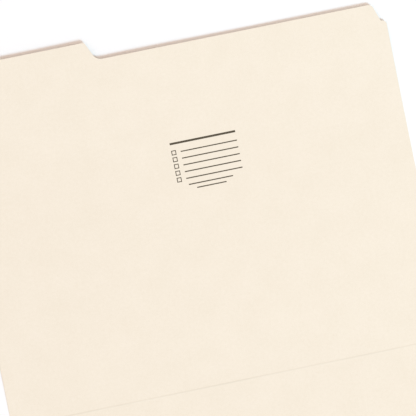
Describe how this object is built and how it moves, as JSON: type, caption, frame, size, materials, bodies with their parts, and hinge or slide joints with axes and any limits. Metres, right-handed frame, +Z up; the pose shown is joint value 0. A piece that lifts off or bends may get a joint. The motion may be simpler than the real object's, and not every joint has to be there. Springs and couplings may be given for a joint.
{
  "type": "file folder",
  "caption": "Open letter-size manila file folder: back panel with an index tab at its left, front panel that folds over it on a pressed crease.",
  "frame": {"origin": "under the middle of the open folder, on the surface that it lies on", "axes": "+Y from the front panel to the back panel and its tab, +X to the right along the fold, +Z up out of the folder's inside"},
  "size_m": [0.2984, 0.4636, 0.0023],
  "materials": {
    "back_card": "matt uncoated manila card",
    "front_card": "matt uncoated manila card",
    "pressed_card": "manila card, pressed by the creasing rule"
  },
  "bodies": {
    "back": {"back_panel": "back_card", "fold_crease": "pressed_card"},
    "front": {"front_panel": "front_card"}
  },
  "joints": [
    {"name": "main_fold", "type": "hinge", "parent": "back", "child": "front", "pos_m": [0, -0.00953, 0.00058], "axis": [-1, 0, 0], "range_deg": [0, 179], "deforming": ["fold_crease"]}
  ]
}
